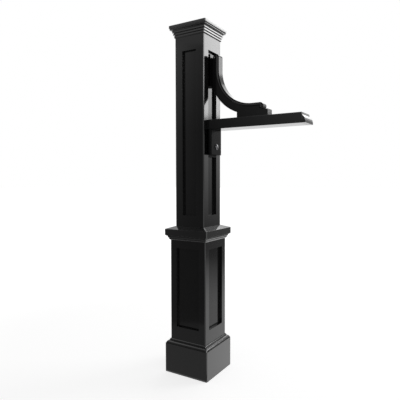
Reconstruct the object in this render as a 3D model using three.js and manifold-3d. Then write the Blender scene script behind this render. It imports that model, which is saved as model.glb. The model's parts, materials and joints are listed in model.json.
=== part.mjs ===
// A bracket arm post: a square, panelled, two-tier sleeve of black moulded plastic that slips over a
// buried timber post, with a level arm on one side, a curved brace above it and a leg below it.
// Millimetres, +Z up, the ground at z = 0, the post's axis on Z and the arm along +X.

import * as THREE from "three";
import { mergeVertices, toCreasedNormals } from "three/addons/utils/BufferGeometryUtils.js";
import Module from "manifold-3d";

const wasm = await Module();
wasm.setup();

// Driving dimensions: the whole post
const plinthWidth = 203;
const lowerWidth = 168.2;
const upperWidth = 136.4;
const timberWidth = 89; // the buried 4 x 4 that the sleeve slips over
const timberSlip = 0.7; // free space on each side of the timber
const wall = 3.5; // wall of every hollow moulding
const fit = 0.3; // gap between pieces that touch
const arris = 5; // rounding of the upright outer edges
const innerArris = 1.5; // rounding of the upright inner edges

// Driving dimensions: the plinth and the lower column
const plinthFace = 120; // ground to the top of the plinth's upright face
const plinthMoulding = 19; // rise of the two sloping bands above the face
const plinthCrease = 11; // rise of the groove between those bands
const plinthCreaseOut = 5; // how far that groove stands out from the lower column
const quirk = 1.2; // depth and height of the other grooves between bands
const plinthRibSpacing = 90;
const lowerStile = 30.1; // flat border at each side of a lower panel
const lowerBottomRail = 54; // plinth moulding to the lower panel
const lowerTopRail = 32.5; // lower panel to the waist collar
const panelDepth = 11;
const panelDraft = 1; // how much narrower a panel is at its floor, on each side
const panelCorner = 2;

// Driving dimensions: the waist collar
const waistHeight = 554; // ground to the underside of the collar
const collarWidth = 203.6;
const collarLowerBand = 7.5;
const collarLowerOut = 6.2; // how far this band stands out from the lower column
const collarUpperBand = 9.5;
const collarUpperOut = 9.4;
const collarFilletBand = 3;
const collarFilletOut = 14;
const collarFascia = 25.5;
const collarWeathering = 11.2; // rise of the sloping top
const collarLap = 12; // how far the lower column reaches up inside the collar
const collarLedgeWidth = 8; // inner ledge that rests on the waist guide

// Driving dimensions: the upper column
const upperStile = 35.7;
const upperBottomRail = 46; // collar to the upper panel
const upperTopRail = 58; // upper panel to the cornice
const bracketHeadroom = 14.4; // top of the brace to the top of the upper panel

// Driving dimensions: the cap
const corniceBand = 8.3; // height of each of the three cornice bands with the groove below it
const corniceGroove = 2.8; // height of that groove
const corniceGrooveDepth = 1.8;
const corniceStep = 3; // how far each band stands out from the one below
const corniceFlare = 2; // how far a band leans out over its own height
const corniceLip = 3; // thickness of the lip that rests on the cap frame
const capCove = 6;
const capBand = 7.4;
const capRim = 8.6;
const capBandWidth = 170;
const capWidth = 174.2;
const capRise = 8; // rise of the low pyramid on top
const capPeak = 12; // width of the flat on the pyramid's top
const capLugWidth = 18;
const capLugSpacing = 56; // between the two lugs on each side
const capLugDepth = 22;

// Driving dimensions: the guides inside
const guideDepth = 30;
const guideHeight = 60; // ground to the underside of the base guide
const flange = 5; // thickness of the guides' flat webs
const capFrameFlange = 3.7;
const upperSpigot = 29; // rib of the waist guide that stands inside the upper column

// Driving dimensions: the arm and its leg
const armTop = 1040; // ground to the upper face of the arm
const armReach = 400; // post face to the tip of the arm
const armWidth = 89;
const armThickness = 38;
const armEdge = 2.5; // rounding of the arm's long edges
const armNose = 16; // length of the moulded end
const armLip = 8.8; // upright lip at the foot of the nose
const armLipStep = 1;
const armNoseTopInset = 14; // tip to the start of the flat top
const armSeat = 120; // free length of the arm's cover beyond the brace
const armPlug = 22; // length of the end cap's plug inside the cover
const corePlate = 2.5; // sheet of the steel channel inside the arm
const coreClearance = 12; // free length between the channel and that plug
const legThickness = 18.8;
const legDrop = 100; // underside of the arm to the foot of the leg
const legEdge = 8; // rounding of the leg's upright edges
const blockOverhang = 9; // how far the block shows below the leg
const boltDrop = 68; // underside of the arm to the leg bolt

// Driving dimensions: the brace
const braceRadius = 143.2; // concave edge
const braceBand = 40.6; // depth of the curved band
const braceArmSeat = 196.4; // centre of the arc to the arm
const bracePostSeat = 192.4; // centre of the arc to the floor of the post's panel
const braceWidth = 41.2;
const braceWeb = 31; // width of the curved band between its beads
const braceArmPad = 26; // thickness of the pad that stands on the arm
const bracePostPad = 13; // thickness of the pad in the post's panel
const bracePadInner = 60.6; // arc centre to a pad's inner end
const braceArmPadOuter = 67.5; // arc centre to the outer end of the arm's pad
const bracePostPadOuter = 66; // arc centre to the outer end of the post's pad
const braceArmShoulder = 47.5; // arc centre to the band's end above the arm
const bracePostShoulder = 64; // arc centre to the band's end against the post
const braceRoll = 13.5; // radius of the rolled end of the band
const beadInset = 4.4; // hollow edge of the band to the bead
const beadWidth = 7.6; // half-round bead that follows that edge and curls up in the rolls
const beadTip = 2; // half width of the bead where it stops

// Driving dimensions: plates and fasteners
const plateThickness = 4;
const plateWidth = 56;
const plateMargin = 20; // bolt or screw centre to a plate's end
const screwRadius = 2.1;
const screwHeadRadius = 4.2;
const screwHeadHeight = 2.4;
const shortScrew = 12;
const armScrew = 66;
const armScrewSpacing = 50;
const braceScrew = 34;
const postScrewRise = 44; // arc centre up to the screw that holds the brace to the post
const boltRadius = 5;
const boltHeadRadius = 10;
const boltHeadHeight = 4.5;
const washerRadius = 12;
const washerThickness = 2;

const overrun = 5; // how far a cutting shape runs past the face that it cuts
const cornerSteps = 4;
const bandSteps = 4;
const arcSteps = 20; // flats to each arc of the brace
const curlSteps = 8;
const crownSteps = 4;
const roundSides = 16;
const slopePullShare = 0.55; // how strongly the nose's S leaves each end upright
const curlShare = 0.65; // how far the bead goes round in a roll, as a share of a turn
const bulgeShare = 0.13; // rise of a rounded band as a share of its chord
const creaseAngle = Math.PI / 6;

// Worked-out halves and heights
const plinthHalf = plinthWidth / 2;
const lowerHalf = lowerWidth / 2;
const upperHalf = upperWidth / 2;
const timberHalf = timberWidth / 2 + timberSlip;
const collarHalf = collarWidth / 2;
const plinthTop = plinthFace + plinthMoulding;
const lowerPanelHalf = lowerHalf - lowerStile;
const upperPanelHalf = upperHalf - upperStile;
const lowerTop = waistHeight + collarLap;
const webTop = lowerTop + fit + flange;
const upperBottom = webTop + fit;
const collarBandTop = waistHeight + collarLowerBand + collarUpperBand;
const fasciaBottom = collarBandTop + collarFilletBand;
const fasciaTop = fasciaBottom + collarFascia;
const collarTop = fasciaTop + collarWeathering;
const braceSeatZ = armTop + fit;
const braceCentreZ = braceSeatZ + braceArmSeat;
const upperPanelTop = braceCentreZ + bracePostPadOuter + bracketHeadroom;
const corniceBottom = upperPanelTop + upperTopRail;
const capUnderside = corniceBottom + 3 * corniceBand;
const rimTop = capUnderside + capCove + capBand + capRim;
const capFrameTop = capUnderside - fit;
const upperTop = capFrameTop - capFrameFlange - fit;
const recessFloor = upperHalf - panelDepth;
const armBottom = armTop - armThickness;
const legTop = armBottom - fit;
const legBottom = armBottom - legDrop;
const legBack = upperHalf + fit;
const legFront = legBack + legThickness;
const boltHeight = armBottom - boltDrop;
const armTip = upperHalf + armReach;
const noseStart = armTip - armNose;
const coreEnd = noseStart + fit - armPlug - coreClearance;
const braceSeatX = recessFloor + fit;
const braceCentreX = braceSeatX + bracePostSeat;
const postScrewHeight = braceCentreZ + postScrewRise;
const armScrewPlace = braceCentreX + (braceArmPadOuter + braceArmShoulder) / 2;
const plateFront = recessFloor - wall - fit;
const plateBack = plateFront - plateThickness;

// Colours, roughness and metalness
const blackPlastic = new THREE.MeshStandardMaterial({ color: 0x0d0d0e, roughness: 0.42, metalness: 0 });
const innerPlastic = new THREE.MeshStandardMaterial({ color: 0x151516, roughness: 0.6, metalness: 0 });
const zincSteel = new THREE.MeshStandardMaterial({ color: 0x9a9da0, roughness: 0.45, metalness: 1 });
const blackSteel = new THREE.MeshStandardMaterial({ color: 0x111112, roughness: 0.35, metalness: 0.6 });

// A closed body from rings of points. Each ring runs counter-clockwise seen from where the rings
// are going. A looped skin joins its last ring to its first; any other skin is closed at both ends.
function skin(rings, looped) {
  const count = rings[0].length;
  const positions = rings.flat();
  const indices = [];
  const last = looped ? rings.length : rings.length - 1;
  for (let ring = 0; ring < last; ring += 1) {
    const lower = ring * count;
    const upper = ((ring + 1) % rings.length) * count;
    for (let side = 0; side < count; side += 1) {
      const next = (side + 1) % count;
      indices.push(lower + side, lower + next, upper + next);
      indices.push(lower + side, upper + next, upper + side);
    }
  }
  if (!looped) {
    const firstCentre = positions.push(centreOf(rings[0])) - 1;
    const lastCentre = positions.push(centreOf(rings.at(-1))) - 1;
    const start = (rings.length - 1) * count;
    for (let side = 0; side < count; side += 1) {
      const next = (side + 1) % count;
      indices.push(firstCentre, next, side);
      indices.push(lastCentre, start + side, start + next);
    }
  }
  const geometry = new THREE.BufferGeometry();
  geometry.setAttribute("position", new THREE.Float32BufferAttribute(positions.flat(), 3));
  geometry.setIndex(indices);
  return geometry;
}

function centreOf(ring) {
  return [0, 1, 2].map((axis) => ring.reduce((sum, point) => sum + point[axis], 0) / ring.length);
}

// Points round a rectangle with rounded corners, counter-clockwise, in its own plane
function roundedRectangle(halfWidth, halfHeight, radius) {
  const corners = [[1, 1], [-1, 1], [-1, -1], [1, -1]];
  return corners.flatMap(([signX, signY], corner) => {
    return Array.from({ length: cornerSteps + 1 }, (_, step) => {
      const angle = (corner + step / cornerSteps) * Math.PI / 2;
      return [
        signX * (halfWidth - radius) + radius * Math.cos(angle),
        signY * (halfHeight - radius) + radius * Math.sin(angle),
      ];
    });
  });
}

// A square moulding round the post's axis, from a profile of [half width, height, corner radius]
function squareMoulding(profile, looped) {
  const rings = profile.map(([half, height, radius]) => {
    const corner = Math.min(radius, half);
    return roundedRectangle(half, half, corner).map(([x, y]) => [x, y, height]);
  });
  return skin(rings, looped);
}

// A rounded bar along X, from a profile of [position, half width, half thickness, corner radius]
function barAlongX(profile, centreHeight, looped) {
  const rings = profile.map(([x, halfWidth, halfThickness, radius]) => {
    return roundedRectangle(halfWidth, halfThickness, radius).map(([y, z]) => [x, y, z + centreHeight]);
  });
  return skin(rings, looped);
}

// Profile points of a band that bulges outwards between two [half width, height] points
function roundedBand([startHalf, startHeight], [endHalf, endHeight], radius) {
  const across = endHalf - startHalf;
  const up = endHeight - startHeight;
  return Array.from({ length: bandSteps + 1 }, (_, step) => {
    const along = step / bandSteps;
    const bulge = 4 * bulgeShare * along * (1 - along);
    return [startHalf + across * along + up * bulge, startHeight + up * along - across * bulge, radius];
  });
}

// Profile points at the back of a small groove that sets one band off from the next
function groove(half, height, radius) {
  return [[half, height, radius], [half, height + quirk, radius]];
}

function box(x0, x1, y0, y1, z0, z1) {
  const geometry = new THREE.BoxGeometry(x1 - x0, y1 - y0, z1 - z0);
  return geometry.translate((x0 + x1) / 2, (y0 + y1) / 2, (z0 + z1) / 2);
}

// A turned piece on the +X axis from a profile of [distance along X, radius] that starts and ends
// on the axis, running towards +X
function turned(profile) {
  const points = profile.map(([along, radius]) => new THREE.Vector2(radius, along));
  return new THREE.LatheGeometry(points, roundSides).rotateZ(-Math.PI / 2);
}

function solid(geometry) {
  const bare = geometry.clone();
  bare.deleteAttribute("normal");
  bare.deleteAttribute("uv");
  const merged = mergeVertices(bare);
  return new wasm.Manifold(new wasm.Mesh({
    numProp: 3,
    vertProperties: new Float32Array(merged.attributes.position.array),
    triVerts: new Uint32Array(merged.index.array),
  }));
}

function surface(body) {
  const { vertProperties, triVerts } = body.getMesh();
  const geometry = new THREE.BufferGeometry();
  geometry.setAttribute("position", new THREE.BufferAttribute(vertProperties, 3));
  geometry.setIndex(new THREE.BufferAttribute(triVerts, 1));
  return geometry;
}

function joined(body, geometries) {
  return geometries.reduce((whole, geometry) => whole.add(solid(geometry)), body);
}

function cutBy(body, geometries) {
  return geometries.reduce((whole, geometry) => whole.subtract(solid(geometry)), body);
}

// The same shape on all four sides of the post
function onFourSides(geometry) {
  return [0, 1, 2, 3].map((side) => geometry.clone().rotateZ(side * Math.PI / 2));
}

function mesh(name, geometry, material) {
  const piece = new THREE.Mesh(toCreasedNormals(geometry, creaseAngle), material);
  piece.name = name;
  return piece;
}

// Numbered meshes of one kind
function meshes(name, geometries, material) {
  return geometries.map((geometry, index) => mesh(`${name}_${index + 1}`, geometry, material));
}

// Countersunk screw on the X axis: flush head at zero, tip towards -X. A grown one cuts its hole.
function screw(length, grown) {
  const shank = screwRadius + grown;
  const head = screwHeadRadius + grown;
  const tip = -length - grown;
  return turned([[tip, 0], [tip, shank], [-screwHeadHeight, shank], [grown, head], [grown, 0]]);
}

function shortScrewAt(half, height, grown) {
  return screw(shortScrew, grown).translate(half, 0, height);
}

// Heights of the screws that hold the guides in the columns
const baseScrewHeight = guideHeight + guideDepth / 2;
const waistScrewHeight = lowerTop - collarLap / 2;
const spigotScrewHeight = upperBottom + upperSpigot / 2;
const capScrewHeight = upperTop - (upperTop - corniceBottom) / 2;

function baseScrews(grown) {
  return onFourSides(shortScrewAt(lowerHalf, baseScrewHeight, grown));
}

function waistScrews(grown) {
  return onFourSides(shortScrewAt(lowerHalf, waistScrewHeight, grown));
}

function spigotScrews(grown) {
  return onFourSides(shortScrewAt(upperHalf, spigotScrewHeight, grown));
}

function capScrews(grown) {
  return onFourSides(shortScrewAt(upperHalf, capScrewHeight, grown));
}

function shaftHole(height) {
  const hole = new THREE.CylinderGeometry(
    boltRadius + fit, boltRadius + fit, legFront, roundSides);
  return hole.rotateZ(Math.PI / 2).translate(legFront / 2 + overrun, 0, height);
}

// Driven from inside the post, through the upper backing plate
function bracePostScrewAt(grown) {
  return screw(braceScrew, grown).rotateZ(Math.PI).translate(plateBack, 0, postScrewHeight);
}

function braceArmScrewAt(grown) {
  const upright = screw(braceScrew, grown).rotateY(-Math.PI / 2);
  return upright.translate(armScrewPlace, 0, braceSeatZ + braceArmPad);
}

function armScrews(grown) {
  const upright = screw(armScrew, grown).rotateY(-Math.PI / 2);
  const reach = armScrewSpacing / 2;
  return [-reach, reach].map((y) => upright.clone().translate(legBack + legThickness / 2, y, armTop));
}

// A column with a sunk panel on each side, its wall folded in behind the panels
function panelledColumn(half, bottom, top, panelHalf, panelBottom, panelTop) {
  const tube = squareMoulding([
    [half, bottom, arris],
    [half, top, arris],
    [half - wall, top, innerArris],
    [half - wall, bottom, innerArris],
  ], true);
  const floor = half - panelDepth;
  const tray = box(
    floor - wall, half - wall / 2,
    -panelHalf - wall, panelHalf + wall,
    panelBottom - wall, panelTop + wall);
  const panelHeight = (panelTop - panelBottom) / 2;
  const pocket = barAlongX([
    [floor, panelHalf - panelDraft, panelHeight - panelDraft, panelCorner],
    [half, panelHalf, panelHeight, panelCorner],
    [half + overrun, panelHalf, panelHeight, panelCorner],
  ], (panelBottom + panelTop) / 2, false);
  return cutBy(joined(solid(tube), onFourSides(tray)), onFourSides(pocket));
}

function basePlinth() {
  const lip = lowerHalf + fit;
  const inner = plinthHalf - wall;
  const crease = [lip + plinthCreaseOut, plinthFace + plinthCrease];
  const moulding = squareMoulding([
    [plinthHalf, 0, arris],
    [plinthHalf, plinthFace, arris],
    ...groove(plinthHalf - 2 * quirk, plinthFace, arris),
    ...roundedBand([plinthHalf - quirk, plinthFace + quirk], [crease[0] + quirk, crease[1]], arris),
    ...groove(crease[0] - quirk, crease[1], arris),
    ...roundedBand([crease[0], crease[1] + quirk], [lip + quirk / 2, plinthTop], arris),
    [lip, plinthTop, arris],
    [lip, plinthTop - plinthMoulding / 3, arris],
    [inner, plinthFace - wall, innerArris],
    [inner, 0, innerArris],
  ], true);
  const rib = box(lip, inner + wall / 2, -wall / 2, wall / 2, 0, plinthFace - wall);
  const ribs = [-plinthRibSpacing / 2, plinthRibSpacing / 2].flatMap((y) => {
    return onFourSides(rib.clone().translate(0, y, 0));
  });
  return surface(joined(solid(moulding), ribs));
}

function lowerColumn() {
  const panelBottom = plinthTop + lowerBottomRail;
  const panelTop = waistHeight - lowerTopRail;
  const body = panelledColumn(lowerHalf, 0, lowerTop, lowerPanelHalf, panelBottom, panelTop);
  return surface(cutBy(body, [...baseScrews(fit), ...waistScrews(fit)]));
}

function upperColumn() {
  const panelBottom = collarTop + upperBottomRail;
  const body = panelledColumn(
    upperHalf, upperBottom, upperTop, upperPanelHalf, panelBottom, upperPanelTop);
  const holes = [...spigotScrews(fit), ...capScrews(fit), shaftHole(boltHeight), bracePostScrewAt(fit)];
  return surface(cutBy(body, holes));
}

// A channel ring that stands in the foot of the lower column and centres it on the timber
function baseGuide() {
  const outer = lowerHalf - wall - fit;
  const top = guideHeight + guideDepth;
  const ring = squareMoulding([
    [outer, guideHeight, innerArris],
    [outer, top, innerArris],
    [outer - wall, top, innerArris],
    [outer - wall, guideHeight + wall, innerArris],
    [timberHalf + wall, guideHeight + wall, innerArris],
    [timberHalf + wall, top, innerArris],
    [timberHalf, top, innerArris],
    [timberHalf, guideHeight, innerArris],
  ], true);
  return surface(cutBy(solid(ring), baseScrews(fit)));
}

// The ring that closes the lower column, carries the upper one and centres both on the timber
function waistGuide() {
  const skirt = lowerHalf - wall - fit;
  const spigot = upperHalf - wall - fit;
  const webBottom = lowerTop + fit;
  const skirtBottom = webBottom - guideDepth;
  const spigotTop = webTop + upperSpigot;
  const ring = squareMoulding([
    [skirt, skirtBottom, innerArris],
    [skirt, webBottom, innerArris],
    [lowerHalf, webBottom, arris],
    [lowerHalf, webTop, arris],
    [spigot, webTop, innerArris],
    [spigot, spigotTop, innerArris],
    [spigot - wall, spigotTop, innerArris],
    [spigot - wall, webTop, innerArris],
    [timberHalf + wall, webTop, innerArris],
    [timberHalf + wall, spigotTop, innerArris],
    [timberHalf, spigotTop, innerArris],
    [timberHalf, webBottom, innerArris],
    [skirt - wall, webBottom, innerArris],
    [skirt - wall, skirtBottom, innerArris],
  ], true);
  return surface(cutBy(solid(ring), [...waistScrews(fit), ...spigotScrews(fit)]));
}

function waistCollar() {
  const lip = lowerHalf + fit;
  const lowerBand = [
    [lip + collarLowerOut / 3, waistHeight],
    [lowerHalf + collarLowerOut, waistHeight + collarLowerBand],
  ];
  const grooveBottom = waistHeight + collarLowerBand;
  const upperBand = [
    [lowerHalf + (collarLowerOut + collarUpperOut) / 2, grooveBottom + quirk],
    [lowerHalf + collarUpperOut, collarBandTop],
  ];
  const ledgeBottom = webTop + fit;
  const ledgeTop = ledgeBottom + wall;
  const inner = collarHalf - wall;
  const throat = upperHalf + fit;
  return squareMoulding([
    [lip, waistHeight, arris],
    ...roundedBand(...lowerBand, arris),
    ...groove(lowerHalf + collarLowerOut - quirk, grooveBottom, arris),
    ...roundedBand(...upperBand, arris),
    [lowerHalf + collarFilletOut, collarBandTop, arris],
    ...groove(lowerHalf + collarFilletOut, fasciaBottom - quirk, arris),
    [collarHalf, fasciaBottom, arris],
    [collarHalf, fasciaTop, arris],
    [throat, collarTop, arris],
    [throat, collarTop - wall, arris],
    [inner, fasciaTop - wall, innerArris],
    [inner, ledgeTop, innerArris],
    [lip - collarLedgeWidth, ledgeTop, innerArris],
    [lip - collarLedgeWidth, ledgeBottom, innerArris],
    [lip, ledgeBottom, arris],
  ], true);
}

// The ring inside the top of the upper column that the cornice and the cap rest on
function capFrame() {
  const skirt = upperHalf - wall - fit;
  const flangeBottom = upperTop + fit;
  const skirtBottom = flangeBottom - guideDepth;
  const ring = squareMoulding([
    [skirt, skirtBottom, innerArris],
    [skirt, flangeBottom, innerArris],
    [upperHalf, flangeBottom, arris],
    [upperHalf, capFrameTop, arris],
    [skirt - wall, capFrameTop, innerArris],
    [skirt - wall, skirtBottom + wall, innerArris],
    [timberHalf, skirtBottom + wall, innerArris],
    [timberHalf, skirtBottom, innerArris],
  ], true);
  return surface(cutBy(solid(ring), capScrews(fit)));
}

function capCornice() {
  const throat = upperHalf + fit;
  const bands = [0, 1, 2].flatMap((band) => {
    const start = throat + (band + 1 / 3) * corniceStep;
    const bottom = corniceBottom + band * corniceBand;
    const back = start + corniceFlare - corniceStep - corniceGrooveDepth;
    const bandBottom = bottom + corniceGroove;
    const setBack = band > 0 ? [[back, bottom, arris], [back, bandBottom, arris]] : [];
    return [
      ...setBack,
      ...roundedBand([start, bandBottom], [start + corniceFlare, bottom + corniceBand], arris),
    ];
  });
  const lipTop = capUnderside + corniceLip;
  const lipOut = throat + 2 * corniceStep;
  return squareMoulding([
    [throat, corniceBottom, arris],
    ...bands,
    [lipOut, capUnderside, arris],
    [lipOut, lipTop, arris],
    [throat - 2 * corniceStep, lipTop, innerArris],
    [throat - 2 * corniceStep, capUnderside, innerArris],
    [throat, capUnderside, arris],
  ], true);
}

function capLid() {
  const bandHalf = capBandWidth / 2;
  const rimHalf = capWidth / 2;
  const throat = upperHalf + fit;
  const foot = throat + 3 * corniceStep;
  const lipSeat = capUnderside + corniceLip + fit;
  const lipSide = throat + 2 * corniceStep + fit;
  const coveTop = capUnderside + capCove;
  const bandTop = coveTop + capBand;
  const inner = bandHalf - wall;
  const cove = Array.from({ length: bandSteps + 1 }, (_, step) => {
    const angle = (step / bandSteps) * Math.PI / 2;
    return [
      bandHalf - (bandHalf - foot) * Math.cos(angle),
      capUnderside + fit + (coveTop - capUnderside - fit) * Math.sin(angle),
      arris,
    ];
  });
  const shell = squareMoulding([
    [capPeak / 2, rimTop + capRise - wall, innerArris],
    [inner, rimTop - wall, innerArris],
    [inner, lipSeat + wall, innerArris],
    [lipSide - wall, lipSeat + wall, innerArris],
    [lipSide - wall, lipSeat, innerArris],
    [lipSide, lipSeat, arris],
    [lipSide, capUnderside + fit, arris],
    ...cove,
    [bandHalf, bandTop, arris],
    [rimHalf, bandTop, arris],
    [rimHalf, rimTop - innerArris, arris],
    [rimHalf - innerArris, rimTop, arris],
    [capPeak / 2, rimTop + capRise, innerArris],
  ], false);
  const lugFace = upperHalf - 2 * wall - 2 * fit;
  const lugTop = rimTop + capRise * (1 - lugFace / rimHalf) - wall / 2;
  const lug = box(
    lugFace - wall, lugFace,
    -capLugWidth / 2, capLugWidth / 2,
    capFrameTop - capLugDepth, lugTop);
  const lugs = [-capLugSpacing / 2, capLugSpacing / 2].flatMap((y) => {
    return onFourSides(lug.clone().translate(0, y, 0));
  });
  return surface(joined(solid(shell), lugs));
}

// The bracket: what is bolted to the post's +X side
function backingPlate(low, high, holes) {
  const plate = box(plateBack, plateFront, -plateWidth / 2, plateWidth / 2, low, high);
  return surface(cutBy(solid(plate), holes));
}

function mountBlock() {
  const half = upperPanelHalf - panelDraft - fit;
  const block = box(recessFloor + fit, upperHalf, -half, half, legBottom - blockOverhang, armTop);
  return surface(cutBy(solid(block), [shaftHole(boltHeight)]));
}

function mountLeg() {
  const halfThickness = legThickness / 2;
  const rings = [legBottom, legTop].map((height) => {
    return roundedRectangle(halfThickness, armWidth / 2, legEdge).map(([x, y]) => [x, y, height]);
  });
  const plate = skin(rings, false).translate(legBack + halfThickness, 0, 0);
  return surface(cutBy(solid(plate), [shaftHole(boltHeight), ...armScrews(fit)]));
}

function armCover() {
  const halfThickness = armThickness / 2;
  const centre = armTop - halfThickness;
  const tube = barAlongX([
    [legBack, armWidth / 2, halfThickness, armEdge],
    [noseStart - armSeat, armWidth / 2, halfThickness, armEdge],
    [noseStart, armWidth / 2, halfThickness, armEdge],
    [noseStart, armWidth / 2 - wall, halfThickness - wall, innerArris],
    [legBack, armWidth / 2 - wall, halfThickness - wall, innerArris],
  ], centre, true);
  return surface(cutBy(solid(tube), [...armScrews(fit), braceArmScrewAt(fit)]));
}

// The end of the arm: a nose with an S-shaped slope over an upright lip, and a plug for the cover
function armEndCap() {
  const start = noseStart + fit;
  const nose = new THREE.Shape();
  const lipTop = armBottom + armLip;
  const slope = armTop - lipTop;
  const slopeFoot = armTip - armLipStep;
  const slopeTop = armTip - armNoseTopInset;
  nose.moveTo(start, armBottom);
  nose.lineTo(armTip, armBottom);
  nose.lineTo(armTip, lipTop);
  nose.lineTo(slopeFoot, lipTop);
  nose.bezierCurveTo(
    slopeFoot, lipTop + slope * slopePullShare,
    slopeTop, armTop - slope * slopePullShare,
    slopeTop, armTop);
  nose.lineTo(start, armTop);
  const body = acrossY(nose, armWidth / 2);
  return surface(joined(solid(body), [insideArm(start - armPlug, start + wall)]));
}

// A bar that fills the cover's width and height between two places along the arm
function insideArm(start, end) {
  const inset = wall + fit;
  const section = [armWidth / 2 - inset, armThickness / 2 - inset, innerArris];
  return barAlongX([[start, ...section], [end, ...section]], (armTop + armBottom) / 2, false);
}

// A steel channel, open below, that fills the cover's width and height
function armCore() {
  const inset = wall + fit;
  const half = armWidth / 2 - inset;
  const top = armTop - inset;
  const foot = armBottom + inset;
  const outer = insideArm(legBack + fit, coreEnd);
  const hollow = box(
    legBack - overrun, coreEnd + overrun,
    corePlate - half, half - corePlate,
    foot - overrun, top - corePlate);
  return surface(cutBy(solid(outer), [hollow, ...armScrews(fit), braceArmScrewAt(fit)]));
}

// An outline in the XZ plane, given thickness to both sides of the arm's centre plane
function acrossY(shape, half) {
  const geometry = new THREE.ExtrudeGeometry(shape, {
    depth: 2 * half, bevelEnabled: false, curveSegments: arcSteps / 2 });
  return geometry.rotateX(Math.PI / 2).translate(0, half, 0);
}

// A point of either end of the brace is given as its distance along that end, outwards from the
// arc's centre, and its distance from the centre towards the seat.
const atFoot = ([along, away]) => [braceCentreX + along, braceCentreZ - away];
const atPost = ([along, away]) => [braceCentreX - away, braceCentreZ + along];

const footRoll = braceArmShoulder - braceRoll;
const postRoll = bracePostShoulder - braceRoll;
const rollAway = braceRadius + braceRoll;
const quarter = Math.PI / 2;

// One end beyond its roll: the pad's outer end, its seat and its inner end, up to the band's back
function padOutline(roll, seat, pad, outer) {
  const backRise = Math.sqrt((braceRadius + braceBand) ** 2 - bracePadInner ** 2);
  return [
    [roll, seat - pad],
    [outer, seat - pad],
    [outer, seat],
    [-bracePadInner, seat],
    [-bracePadInner, backRise],
  ];
}

function braceOutline() {
  const back = braceRadius + braceBand;
  const footPad = padOutline(footRoll, braceArmSeat, braceArmPad, braceArmPadOuter);
  const postPad = padOutline(postRoll, bracePostSeat, bracePostPad, bracePostPadOuter);
  const backAngle = Math.asin(bracePadInner / back);
  const shape = new THREE.Shape();
  shape.moveTo(...atFoot([0, braceRadius]));
  shape.lineTo(...atFoot([footRoll, braceRadius]));
  shape.absarc(...atFoot([footRoll, rollAway]), braceRoll, quarter, -quarter, true);
  footPad.forEach((point) => shape.lineTo(...atFoot(point)));
  shape.absarc(braceCentreX, braceCentreZ, back, 3 * quarter - backAngle, Math.PI + backAngle, true);
  postPad.toReversed().forEach((point) => shape.lineTo(...atPost(point)));
  shape.lineTo(...atPost([postRoll, rollAway + braceRoll]));
  shape.absarc(...atPost([postRoll, rollAway]), braceRoll, Math.PI, 0, true);
  shape.lineTo(...atPost([0, braceRadius]));
  shape.absarc(braceCentreX, braceCentreZ, braceRadius, Math.PI, 3 * quarter, false);
  return shape;
}

// Centre line of the bead from the middle of the arc to its curl in one roll, with its half width
function beadPath(place, roll) {
  const wide = beadWidth / 2;
  const radius = braceRadius + beadInset + wide;
  const reach = rollAway - radius;
  const steps = arcSteps / 2;
  const arc = Array.from({ length: steps + 1 }, (_, step) => {
    const angle = quarter / 2 * (1 - (step - 1) / steps);
    return [-radius * Math.sin(angle), radius * Math.cos(angle), wide];
  });
  const curl = Array.from({ length: curlSteps + 1 }, (_, step) => {
    const share = step / curlSteps;
    const angle = share * curlShare * 4 * quarter;
    const halfWidth = wide + (beadTip - wide) * share;
    return [roll + reach * Math.sin(angle), rollAway - reach * Math.cos(angle), halfWidth];
  });
  const points = [...arc, [0, radius, wide], ...curl];
  return points.map(([along, away, halfWidth]) => [...place([along, away]), halfWidth]);
}

// A half-round ridge along a flat path, proud of both side faces of the brace
function bead(path) {
  const rings = path.map(([x, z, halfWidth], index) => {
    const before = path[Math.max(index - 1, 0)];
    const after = path[Math.min(index + 1, path.length - 1)];
    const length = Math.hypot(after[0] - before[0], after[1] - before[1]);
    const across = [(after[1] - before[1]) / length, (before[0] - after[0]) / length];
    return beadSection(halfWidth).map(([side, y]) => [x + across[0] * side, y, z + across[1] * side]);
  });
  return skin(rings, false);
}

// Both ridges and the web between them in one section: flat sides with a half-round crown on each
function beadSection(halfWidth) {
  const half = braceWeb / 2;
  const crown = braceWidth / 2 - half;
  const side = Array.from({ length: crownSteps + 1 }, (_, step) => {
    const angle = Math.PI * step / crownSteps;
    return [halfWidth * Math.cos(angle), half + crown * Math.sin(angle)];
  });
  return [...side, ...side.map(([x, y]) => [-x, -y])];
}

function brace() {
  const half = braceWidth / 2;
  const web = solid(acrossY(braceOutline(), braceWeb / 2));
  const foot = box(
    braceCentreX - bracePadInner, braceCentreX + braceArmPadOuter,
    -half, half,
    braceSeatZ, braceSeatZ + braceArmPad);
  const post = box(
    braceSeatX, braceSeatX + bracePostPad,
    -half, half,
    braceCentreZ - bracePadInner, braceCentreZ + bracePostPadOuter);
  const ends = [[atFoot, footRoll], [atPost, postRoll]];
  const beads = ends.map(([place, roll]) => bead(beadPath(place, roll)));
  const whole = joined(web, [foot, post, ...beads]);
  return surface(cutBy(whole, [bracePostScrewAt(fit), braceArmScrewAt(fit)]));
}

function legBolt() {
  const headBase = legFront + fit + washerThickness + fit;
  const dome = Array.from({ length: crownSteps }, (_, step) => {
    const angle = step / crownSteps * Math.PI / 2;
    return [headBase + boltHeadHeight * Math.sin(angle), boltHeadRadius * Math.cos(angle)];
  });
  return turned([
    [plateBack, 0],
    [plateBack, boltRadius],
    [headBase, boltRadius],
    ...dome,
    [headBase + boltHeadHeight, 0],
  ]).translate(0, 0, boltHeight);
}

function legWasher() {
  const back = legFront + fit;
  const front = back + washerThickness;
  const hole = boltRadius + fit;
  const ring = [[back, hole], [back, washerRadius], [front, washerRadius], [front, hole], [back, hole]];
  return turned(ring).translate(0, 0, boltHeight);
}

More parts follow.
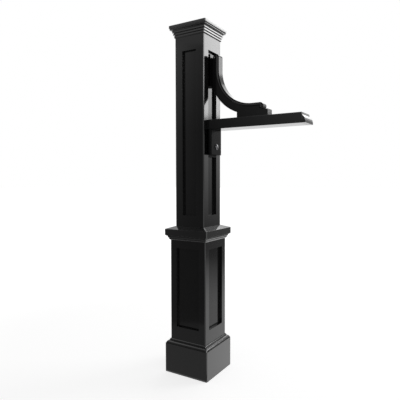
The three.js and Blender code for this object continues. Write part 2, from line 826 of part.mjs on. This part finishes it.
const bracketPost = new THREE.Group();
bracketPost.add(
  mesh("base_plinth", basePlinth(), blackPlastic),
  mesh("lower_column", lowerColumn(), blackPlastic),
  mesh("base_guide", baseGuide(), innerPlastic),
  ...meshes("base_guide_screw", baseScrews(0), zincSteel),
  mesh("waist_guide", waistGuide(), innerPlastic),
  ...meshes("waist_screw", waistScrews(0), zincSteel),
  ...meshes("spigot_screw", spigotScrews(0), zincSteel),
  mesh("waist_collar", waistCollar(), blackPlastic),
  mesh("upper_column", upperColumn(), blackPlastic),
  mesh("cap_frame", capFrame(), innerPlastic),
  ...meshes("cap_frame_screw", capScrews(0), zincSteel),
  mesh("cap_cornice", capCornice(), blackPlastic),
  mesh("cap_lid", capLid(), blackPlastic),
);

const bracket = new THREE.Group();
bracket.add(
  mesh("lower_backing_plate", backingPlate(
    boltHeight - plateMargin, boltHeight + plateMargin, [shaftHole(boltHeight)]), zincSteel),
  mesh("upper_backing_plate", backingPlate(
    postScrewHeight - plateMargin, postScrewHeight + plateMargin, [bracePostScrewAt(fit)]), zincSteel),
  mesh("mount_block", mountBlock(), blackPlastic),
  mesh("mount_leg", mountLeg(), blackPlastic),
  mesh("leg_bolt", legBolt(), blackSteel),
  mesh("leg_washer", legWasher(), blackSteel),
  mesh("arm_cover", armCover(), blackPlastic),
  mesh("arm_core", armCore(), zincSteel),
  mesh("arm_end_cap", armEndCap(), blackPlastic),
  ...meshes("arm_screw", armScrews(0), blackSteel),
  mesh("brace", brace(), blackPlastic),
  mesh("brace_post_screw", bracePostScrewAt(0), blackSteel),
  mesh("brace_arm_screw", braceArmScrewAt(0), blackSteel),
);
bracketPost.add(bracket);

export default bracketPost;
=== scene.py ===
"""The looks of a bracket arm post: black moulded plastic with softened edges."""
import json
import math

import bmesh
import bpy
from mathutils import Matrix, Vector


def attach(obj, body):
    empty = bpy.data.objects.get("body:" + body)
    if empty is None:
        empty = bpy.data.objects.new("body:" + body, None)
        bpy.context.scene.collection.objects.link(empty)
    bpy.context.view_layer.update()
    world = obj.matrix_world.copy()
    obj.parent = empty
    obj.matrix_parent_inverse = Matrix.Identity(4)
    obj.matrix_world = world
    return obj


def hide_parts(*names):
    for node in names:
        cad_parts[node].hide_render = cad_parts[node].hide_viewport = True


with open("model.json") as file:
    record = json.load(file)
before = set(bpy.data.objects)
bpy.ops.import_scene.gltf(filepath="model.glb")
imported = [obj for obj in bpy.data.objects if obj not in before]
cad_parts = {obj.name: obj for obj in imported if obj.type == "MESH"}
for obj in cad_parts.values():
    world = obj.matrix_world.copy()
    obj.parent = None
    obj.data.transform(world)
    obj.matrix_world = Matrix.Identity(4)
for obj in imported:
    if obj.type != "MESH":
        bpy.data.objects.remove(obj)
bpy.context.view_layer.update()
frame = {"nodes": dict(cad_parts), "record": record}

# Camera, fitted to the photograph's edges
IMAGE_SIZE = 400
FOCAL_PIXELS = 421.3
SENSOR_WIDTH = 36.0
CAMERA_DISTANCE = 1.764
CAMERA_HEIGHT = 0.8077
CAMERA_SIDE_STEP = 0.0071
CAMERA_TURN = math.radians(31.79)
CAMERA_TILT = math.radians(-2.96)
CAMERA_ROLL = math.radians(-0.09)

# Softened edges: faces within BLEND of each other share a normal, and HAIR is the play of a height
WELD = 1e-5
FLAT_ANGLE = math.radians(0.6)
EDGE_ANGLE = math.radians(28)
BLEND = math.cos(math.radians(50))
BEVEL_SEGMENTS = 2
HAIR = 5e-5

# Cap: heights and half widths of its mouldings, as the solids give them
ARRIS = 0.005
CORNICE_FOOT = 1.3751
CORNICE_TOP = 1.4
CORNICE_INSIDE = 0.0685
CORNICE_STRETCH = 1.11
BANDS = 3
BAND_PITCH = 0.0083
BAND_GROOVE = 0.0028
BAND_STEP = 0.003
BAND_LEAN = 0.002
BAND_BULGE = 0.0007
COVE_INSIDE = 0.0757
COVE_TOP = 1.406
COVE_SHARE = 0.7
RIM_FOOT = 1.4134
RIM_BAND_INSIDE = 0.083
RIM_GROOVE = 0.003
RIM_GROOVE_DEPTH = 0.0022

# Share of the top gloss on each moulding, in the columns' sunk panels, on the bead and on the lip
POLISH = {
    "base_plinth": 1.0, "waist_collar": 1.0, "cap_cornice": 1.0, "cap_lid": 1.0,
    "arm_end_cap": 1.0, "arm_cover": 0.2, "brace": 0.0,
}
PLAIN_POLISH = 0.5
SIDE_PANEL_POLISH = 0.05
FRONT_PANEL_POLISH = 0.35
PANEL_INSIDE = {"upper_column": 0.062, "lower_column": 0.079}
BEAD_POLISH = 1.0
BEAD_REACH = (0.0162, 0.0203)
LIP_POLISH = 0
LIP_TOP = 1.0135

# Grain, waves and haze of the surfaces
NOISE_ROUGHNESS = 0.55
GRAIN_DETAIL = 3
WAVE_DETAIL = 1
CLOUD_DETAIL = 5
CLOUD_SIZE = 0.35
MIST_SHARE = 0.35

# Studio
WHITE = (1, 1, 1, 1)
WORLD_LIGHT = 0.35
WORLD_REFLECTED = 0.6
FLOOR_SIZE = 60.0
FLOOR_COLOUR = (0.55, 0.55, 0.55, 1)
FLOOR_GLOW = (0.72, 1.0)
FLOOR_GLOW_REACH = (0.9, 3.2)
POST_MIDDLE = Vector((0.07, 0, 1.0))
CARD_HALF = 0.5

UP = Vector((0, 0, 1))
NO_LENGTH = 1e-5


def aim(source, direction, up):
    """Turns an object so that its -Z looks along direction and its +Y lies towards up."""
    back = -direction.normalized()
    right = up.cross(back)
    right = right.normalized() if right.length > NO_LENGTH else Vector((1, 0, 0))
    turn = Matrix((right, back.cross(right), back)).transposed()
    source.matrix_world = Matrix.Translation(source.location) @ turn.to_4x4()


def make_camera():
    flat_forward = Vector((-math.sin(CAMERA_TURN), math.cos(CAMERA_TURN), 0))
    right = Vector((math.cos(CAMERA_TURN), math.sin(CAMERA_TURN), 0))
    forward = flat_forward * math.cos(CAMERA_TILT) + UP * math.sin(CAMERA_TILT)
    above = UP * math.cos(CAMERA_TILT) - flat_forward * math.sin(CAMERA_TILT)
    data = bpy.data.cameras.new("camera")
    data.sensor_width = SENSOR_WIDTH
    data.lens = FOCAL_PIXELS / IMAGE_SIZE * SENSOR_WIDTH
    camera = bpy.data.objects.new("camera", data)
    bpy.context.collection.objects.link(camera)
    camera.location = (
        -flat_forward * CAMERA_DISTANCE + right * CAMERA_SIDE_STEP + UP * CAMERA_HEIGHT)
    aim(camera, forward, above * math.cos(CAMERA_ROLL) - right * math.sin(CAMERA_ROLL))
    bpy.context.scene.camera = camera


def new_tree(owner):
    owner.use_nodes = True
    tree = owner.node_tree
    tree.nodes.clear()
    return tree


def node(tree, kind, **settings):
    made = tree.nodes.new(kind)
    for name, value in settings.items():
        setattr(made, name, value)
    return made


def set_inputs(made, **values):
    for name, value in values.items():
        made.inputs[name.replace("_", " ")].default_value = value
    return made


def math_node(tree, operation, first, second=None):
    made = node(tree, "ShaderNodeMath", operation=operation)
    for socket, value in zip(made.inputs, (first, second)):
        if value is None:
            continue
        if isinstance(value, (int, float)):
            socket.default_value = value
        else:
            tree.links.new(value, socket)
    return made.outputs[0]


def moulded_surface_group():
    """Fine moulded grain, slow waves from cooling and a haze of dust on faces that look up."""
    tree = bpy.data.node_groups.new("moulded_surface", "ShaderNodeTree")
    sockets = (
        ("Grain Size", 0.0012), ("Grain Height", 1.0), ("Wave Size", 0.09), ("Wave Height", 1.0),
    )
    for name, value in sockets:
        made = tree.interface.new_socket(name, in_out="INPUT", socket_type="NodeSocketFloat")
        made.default_value = value
    for name in ("Height", "Cloud", "Dust"):
        tree.interface.new_socket(name, in_out="OUTPUT", socket_type="NodeSocketFloat")
    given = node(tree, "NodeGroupInput")
    result = node(tree, "NodeGroupOutput")
    place = node(tree, "ShaderNodeTexCoord").outputs["Object"]

    def noise(size, detail):
        scale = math_node(tree, "DIVIDE", 1.0, size)
        made = node(tree, "ShaderNodeTexNoise")
        set_inputs(made, Detail=detail, Roughness=NOISE_ROUGHNESS)
        tree.links.new(place, made.inputs["Vector"])
        tree.links.new(scale, made.inputs["Scale"])
        return made.outputs["Fac"]

    grain = noise(given.outputs["Grain Size"], GRAIN_DETAIL)
    wave = noise(given.outputs["Wave Size"], WAVE_DETAIL)
    height = math_node(
        tree, "ADD",
        math_node(tree, "MULTIPLY", grain, given.outputs["Grain Height"]),
        math_node(tree, "MULTIPLY", wave, given.outputs["Wave Height"]),
    )
    tree.links.new(height, result.inputs["Height"])
    cloud_size = math_node(tree, "MULTIPLY", given.outputs["Wave Size"], CLOUD_SIZE)
    cloud = noise(cloud_size, CLOUD_DETAIL)
    tree.links.new(cloud, result.inputs["Cloud"])
    facing = node(tree, "ShaderNodeSeparateXYZ")
    tree.links.new(node(tree, "ShaderNodeNewGeometry").outputs["Normal"], facing.inputs[0])
    upward = math_node(tree, "MAXIMUM", facing.outputs["Z"], 0.0)
    tree.links.new(math_node(tree, "MULTIPLY", upward, cloud), result.inputs["Dust"])
    return tree


def surface_material(
        name, colour, pale, rough, metal, specular, bump, grain, wave, polished=False):
    """A material whose colour and roughness drift a little, over the moulded surface group.

    rough is the roughness and its drift, bump a strength and a height in metres, and grain and wave
    are each a size in metres and a share of that height. A polished one has a top gloss too.
    """
    material = bpy.data.materials.new(name)
    tree = new_tree(material)
    group = node(tree, "ShaderNodeGroup", node_tree=moulded)
    set_inputs(
        group, Grain_Size=grain[0], Grain_Height=grain[1], Wave_Size=wave[0], Wave_Height=wave[1])
    tint = node(tree, "ShaderNodeMix", data_type="RGBA")
    tint.inputs["A"].default_value = (*colour, 1)
    tint.inputs["B"].default_value = (*pale, 1)
    mist = math_node(tree, "MULTIPLY", group.outputs["Cloud"], MIST_SHARE)
    share = math_node(tree, "MINIMUM", math_node(tree, "ADD", mist, group.outputs["Dust"]), 1.0)
    tree.links.new(share, tint.inputs["Factor"])
    roughness = math_node(tree, "MULTIPLY_ADD", group.outputs["Cloud"], rough[1])
    roughness.node.inputs[2].default_value = rough[0]
    relief = set_inputs(node(tree, "ShaderNodeBump"), Strength=bump[0], Distance=bump[1])
    tree.links.new(group.outputs["Height"], relief.inputs["Height"])
    shader = node(tree, "ShaderNodeBsdfPrincipled")
    set_inputs(shader, Metallic=metal, Specular_IOR_Level=specular)
    tree.links.new(tint.outputs["Result"], shader.inputs["Base Color"])
    tree.links.new(roughness, shader.inputs["Roughness"])
    tree.links.new(relief.outputs["Normal"], shader.inputs["Normal"])
    if polished:
        shader.inputs["Coat Roughness"].default_value = rough[0]
        polish = node(
            tree, "ShaderNodeAttribute", attribute_type="GEOMETRY", attribute_name="polish")
        tree.links.new(polish.outputs["Fac"], shader.inputs["Coat Weight"])
    output = node(tree, "ShaderNodeOutputMaterial")
    tree.links.new(shader.outputs["BSDF"], output.inputs["Surface"])
    return material


def blended_normals(made):
    """A normal for each face corner, led by the largest of the faces that meet there smoothly."""
    made.normal_update()
    normals = []
    for face in made.faces:
        face.smooth = True
        for corner in face.loops:
            around = [
                other for other in corner.vert.link_faces if other.normal.dot(face.normal) > BLEND]
            total = sum((other.normal * other.calc_area() for other in around), Vector())
            normals.append(total.normalized())
    return normals


def reach(place):
    """How far the face of the ring that a place belongs to lies from the post's axis."""
    across, along = abs(place.x), abs(place.y)
    if abs(across - along) > ARRIS:
        return max(across, along)
    # On the rounded corner: the half width whose arc of radius ARRIS runs through the place
    return ARRIS + (across + along - math.sqrt(2 * ARRIS ** 2 - (across - along) ** 2)) / 2


def move_outwards(vertex, distance):
    vertex.co.x += math.copysign(distance, vertex.co.x)
    vertex.co.y += math.copysign(distance, vertex.co.y)


def stand_bands_upright(made):
    """Stands the cornice's bands upright and draws them down a little over the column."""
    for band in range(BANDS):
        foot = CORNICE_FOOT + band * BAND_PITCH
        low, high = foot + BAND_GROOVE, foot + BAND_PITCH
        inside = CORNICE_INSIDE + band * BAND_STEP
        for vertex in made.verts:
            if low - HAIR < vertex.co.z < high + HAIR and reach(vertex.co) > inside:
                drop = (high - vertex.co.z) / (high - low)
                hump = 4 * drop * (1 - drop)  # 0 at both edges of the band and 1 halfway
                move_outwards(vertex, BAND_LEAN * drop - BAND_BULGE * hump)
    for vertex in made.verts:
        if vertex.co.z < CORNICE_TOP:
            vertex.co.z = CORNICE_TOP - (CORNICE_TOP - vertex.co.z) * CORNICE_STRETCH


def groove_under_rim(made):
    """Lowers the cove's top a little and cuts a groove around the cap, right under its rim."""
    for vertex in made.verts:
        if CORNICE_TOP < vertex.co.z < COVE_TOP + HAIR and reach(vertex.co) > COVE_INSIDE:
            vertex.co.z = CORNICE_TOP + (vertex.co.z - CORNICE_TOP) * COVE_SHARE
    bmesh.ops.bisect_plane(
        made, geom=made.verts[:] + made.edges[:] + made.faces[:], dist=WELD,
        plane_co=(0, 0, RIM_FOOT - RIM_GROOVE), plane_no=UP)
    ring = []
    for face in made.faces:
        middle = face.calc_center_median()
        if RIM_FOOT - RIM_GROOVE < middle.z < RIM_FOOT - HAIR and reach(middle) > RIM_BAND_INSIDE:
            ring.append(face)
    for sunk in bmesh.ops.extrude_face_region(made, geom=ring)["geom"]:
        if isinstance(sunk, bmesh.types.BMVert):
            move_outwards(sunk, -RIM_GROOVE_DEPTH)


SHAPED = {"cap_cornice": stand_bands_upright, "cap_lid": groove_under_rim}


def polish_at(name, place):
    """The share of the top gloss at a place of one moulding."""
    if name == "brace" and BEAD_REACH[0] < abs(place.y) < BEAD_REACH[1]:
        return BEAD_POLISH
    if name == "arm_end_cap" and place.z < LIP_TOP:
        return LIP_POLISH
    if reach(place) < PANEL_INSIDE.get(name, 0):
        return SIDE_PANEL_POLISH if abs(place.x) > abs(place.y) else FRONT_PANEL_POLISH
    return POLISH.get(name, PLAIN_POLISH)


def softened(name, radius):
    """A copy of a CAD node with merged facets and rounded edges, shown in the node's place."""
    made = bmesh.new()
    made.from_mesh(frame["nodes"][name].data)
    bmesh.ops.remove_doubles(made, verts=made.verts, dist=WELD)
    bmesh.ops.dissolve_limit(made, angle_limit=FLAT_ANGLE, verts=made.verts, edges=made.edges)
    if name in SHAPED:
        SHAPED[name](made)
    sharp = [
        edge for edge in made.edges if edge.is_manifold and edge.calc_face_angle() > EDGE_ANGLE]
    bmesh.ops.bevel(
        made, geom=sharp, offset=radius, offset_type="OFFSET", segments=BEVEL_SEGMENTS,
        affect="EDGES", profile=0.5, material=-1, clamp_overlap=True,
    )
    polish = made.verts.layers.float.new("polish")
    for vertex in made.verts:
        vertex[polish] = polish_at(name, vertex.co)
    mesh = bpy.data.meshes.new(name + "_moulding")
    corner_normals = blended_normals(made)
    made.to_mesh(mesh)
    made.free()
    mesh.normals_split_custom_set(corner_normals)
    piece = bpy.data.objects.new(name + "_moulding", mesh)
    bpy.context.collection.objects.link(piece)
    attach(piece, "root")
    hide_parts(name)
    return piece


def dress(piece, material):
    piece.data.materials.clear()
    piece.data.materials.append(material)


def seen_directly(tree, reflected):
    """1 for the camera's rays, reflected for reflections and 0 for rays that light the object."""
    rays = node(tree, "ShaderNodeLightPath")
    mirrored = math_node(tree, "MULTIPLY", rays.outputs["Is Glossy Ray"], reflected)
    return math_node(tree, "MAXIMUM", rays.outputs["Is Camera Ray"], mirrored)


def make_world():
    world = bpy.data.worlds.new("studio")
    bpy.context.scene.world = world
    tree = new_tree(world)
    background = node(tree, "ShaderNodeBackground")
    background.inputs["Color"].default_value = WHITE
    level = math_node(tree, "MULTIPLY_ADD", seen_directly(tree, WORLD_REFLECTED), 1 - WORLD_LIGHT)
    level.node.inputs[2].default_value = WORLD_LIGHT
    tree.links.new(level, background.inputs["Strength"])
    output = node(tree, "ShaderNodeOutputWorld")
    tree.links.new(background.outputs[0], output.inputs["Surface"])


def make_floor():
    mesh = bpy.data.meshes.new("floor")
    made = bmesh.new()
    bmesh.ops.create_grid(made, x_segments=1, y_segments=1, size=FLOOR_SIZE / 2)
    made.to_mesh(mesh)
    made.free()
    floor = bpy.data.objects.new("floor", mesh)
    bpy.context.collection.objects.link(floor)
    material = bpy.data.materials.new("pale_floor")
    tree = new_tree(material)
    matt = node(tree, "ShaderNodeBsdfDiffuse")
    matt.inputs["Color"].default_value = FLOOR_COLOUR
    glow = node(tree, "ShaderNodeEmission")
    away = node(tree, "ShaderNodeVectorMath", operation="LENGTH")
    tree.links.new(node(tree, "ShaderNodeTexCoord").outputs["Object"], away.inputs[0])
    fade = node(tree, "ShaderNodeMapRange", interpolation_type="SMOOTHSTEP")
    tree.links.new(away.outputs["Value"], fade.inputs["Value"])
    bounds = ("From Min", "From Max", "To Min", "To Max")
    for name, value in zip(bounds, (*FLOOR_GLOW_REACH, *FLOOR_GLOW)):
        fade.inputs[name].default_value = value
    level = math_node(tree, "MULTIPLY", seen_directly(tree, 1.0), fade.outputs["Result"])
    tree.links.new(level, glow.inputs["Strength"])
    both = node(tree, "ShaderNodeAddShader")
    tree.links.new(matt.outputs[0], both.inputs[0])
    tree.links.new(glow.outputs[0], both.inputs[1])
    output = node(tree, "ShaderNodeOutputMaterial")
    tree.links.new(both.outputs[0], output.inputs["Surface"])
    mesh.materials.append(material)


def softbox(name, place, target, width, height, power):
    data = bpy.data.lights.new(name, "AREA")
    data.shape = "RECTANGLE"
    data.size = width
    data.size_y = height
    data.energy = power
    lamp = bpy.data.objects.new(name, data)
    bpy.context.collection.objects.link(lamp)
    lamp.location = Vector(place)
    aim(lamp, Vector(target) - lamp.location, UP)
    return lamp


def shade_card(
        name, place, target, size, least, middle, rise=0, sides=(0, 0), climb=(0, 0, 0)):
    """A glowing card that lights nothing and that only reflections see: it paints reflections in
    shades of white.

    Its shade is middle at its centre line, grows upwards by rise per metre and is never under
    least. It grows by sides per metre to its left and to its right, times a share of its own: climb
    holds the least share, the share at the centre line and the share's growth per metre upwards.
    """
    mesh = bpy.data.meshes.new(name)
    made = bmesh.new()
    bmesh.ops.create_grid(made, x_segments=1, y_segments=1, size=CARD_HALF)
    bmesh.ops.scale(made, vec=(*size, 1), verts=made.verts)
    made.to_mesh(mesh)
    made.free()
    card = bpy.data.objects.new(name, mesh)
    bpy.context.collection.objects.link(card)
    card.location = Vector(place)
    aim(card, Vector(target) - card.location, UP)
    material = bpy.data.materials.new(name)
    tree = new_tree(material)
    spot = node(tree, "ShaderNodeSeparateXYZ")
    tree.links.new(node(tree, "ShaderNodeTexCoord").outputs["Object"], spot.inputs[0])
    across, up = spot.outputs["X"], spot.outputs["Y"]

    def ramp(slope, start, floor):
        sloped = math_node(tree, "MULTIPLY_ADD", up, slope)
        sloped.node.inputs[2].default_value = start
        return math_node(tree, "MAXIMUM", sloped, floor)

    left, right = (
        math_node(tree, "MAXIMUM", math_node(tree, "MULTIPLY", across, slope), 0.0)
        for slope in (-sides[0], sides[1]))
    least_share, middle_share, share_rise = climb
    share = ramp(share_rise, middle_share, least_share)
    growth = math_node(tree, "MULTIPLY", math_node(tree, "ADD", left, right), share)
    shade = math_node(tree, "ADD", ramp(rise, middle, least), growth)
    glow = node(tree, "ShaderNodeEmission")
    tree.links.new(math_node(tree, "MINIMUM", shade, 1.0), glow.inputs["Strength"])
    output = node(tree, "ShaderNodeOutputMaterial")
    tree.links.new(glow.outputs[0], output.inputs["Surface"])
    mesh.materials.append(material)
    card.visible_camera = False
    card.visible_shadow = False
    card.visible_diffuse = False


moulded = moulded_surface_group()
BLACK_MOULDING = {
    "colour": (0.003, 0.003, 0.0031), "pale": (0.014, 0.014, 0.0145), "metal": 0,
    "bump": (0.15, 0.0004), "grain": (0.0011, 0.12), "wave": (0.08, 0.4),
}
METAL_RELIEF = {"bump": (0.2, 0.0003), "grain": (0.0006, 0.5), "wave": (0.01, 1.0)}
FINISHES = {
    "black_plastic": surface_material(
        "black_plastic", **BLACK_MOULDING, rough=(0.1, 0.05), specular=0.25, polished=True),
    "satin_plastic": surface_material(
        "satin_plastic", **BLACK_MOULDING, rough=(0.16, 0.06), specular=0.06),
    "inner_plastic": surface_material(
        "inner_plastic", colour=(0.018, 0.018, 0.019), pale=(0.05, 0.05, 0.05), rough=(0.5, 0.15),
        metal=0, specular=0.5, bump=(0.3, 0.0006), grain=(0.0014, 0.4), wave=(0.06, 1.0)),
    "zinc_steel": surface_material(
        "zinc_steel", **METAL_RELIEF, colour=(0.55, 0.56, 0.58), pale=(0.72, 0.72, 0.7),
        rough=(0.3, 0.25), metal=1, specular=0.5),
    "black_steel": surface_material(
        "black_steel", **METAL_RELIEF, colour=(0.12, 0.12, 0.125), pale=(0.2, 0.2, 0.2),
        rough=(0.12, 0.08), metal=0.9, specular=0.5),
}

# Nodes whose finish isn't their slot's own, and the radius of each moulding's edges
SATIN_NODES = ("mount_leg", "mount_block")
EDGE_RADIUS = {
    "base_plinth": 0.0005,
    "lower_column": 0.0008,
    "waist_collar": 0.0003,
    "upper_column": 0.0008,
    "cap_cornice": 0.0004,
    "cap_lid": 0.0006,
    "arm_cover": 0.0008,
    "arm_end_cap": 0.0008,
    "brace": 0.0008,
    "mount_leg": 0.001,
    "mount_block": 0.001,
}

make_camera()
make_world()
make_floor()

# Each lamp and card has a place and a point to look at, in metres, and a lamp's power is in watts
softbox("key_softbox", (2.28, 2.69, 2.3), POST_MIDDLE, width=1.7, height=1.5, power=37)
right_softbox = softbox(
    "right_softbox", (2.43, -0.42, 2.1), POST_MIDDLE, width=2.6, height=1.1, power=60)
right_softbox.visible_diffuse = False
softbox("back_softbox", (-0.4, 3.4, 3.1), POST_MIDDLE, width=2.4, height=1.8, power=20)
# Painted reflection: a dim card low on the right that only reflections see, brighter upwards
shade_card(
    "low_right_card", (1.45, 2.3, 0.66), POST_MIDDLE, size=(3.6, 1.3),
    least=0.22, middle=0.54, rise=0.85)
# Painted reflection: a card on the floor at the back right that only reflections see, brighter
# towards the post
shade_card(
    "right_floor_card", (0.995, 1.6, 0.004), (0.995, 1.6, 1), size=(2.4, 1.5),
    least=0.1, middle=0.62, rise=0.61)
# Painted reflection: a dim card at the front left that only reflections see, brighter upwards and
# towards its sides
shade_card(
    "left_card", (-0.28, -0.61, 1.5), (0.07, 0, 1.5), size=(1.7, 3.0),
    least=0.15, middle=0.33, rise=0.42, sides=(1.6, 0.8), climb=(0.1, 1.75, 1.6))
# Painted reflection: a brighter card high on the front left that only reflections see
shade_card(
    "high_left_card", (-0.27, -0.585, 2.05), (0.07, 0, 2.05), size=(1.7, 1.06),
    least=0.6, middle=0.6)
# Painted shadow: a dim card on the floor at the front left that only reflections see, standing in
# for the object's shadow on the floor there
shade_card(
    "floor_card", (-0.45, -0.73, 0.004), (-0.45, -0.73, 1), size=(1.2, 1.25),
    least=0.3, middle=0.3)

slots = {entry["node"]: entry["material_slot"] for entry in frame["record"]["subparts"]}
for cad_name, cad_piece in frame["nodes"].items():
    dress(cad_piece, FINISHES[slots[cad_name]])
for cad_name, radius in EDGE_RADIUS.items():
    finish = "satin_plastic" if cad_name in SATIN_NODES else slots[cad_name]
    dress(softened(cad_name, radius), FINISHES[finish])

bpy.context.scene.view_settings.view_transform = "Standard"
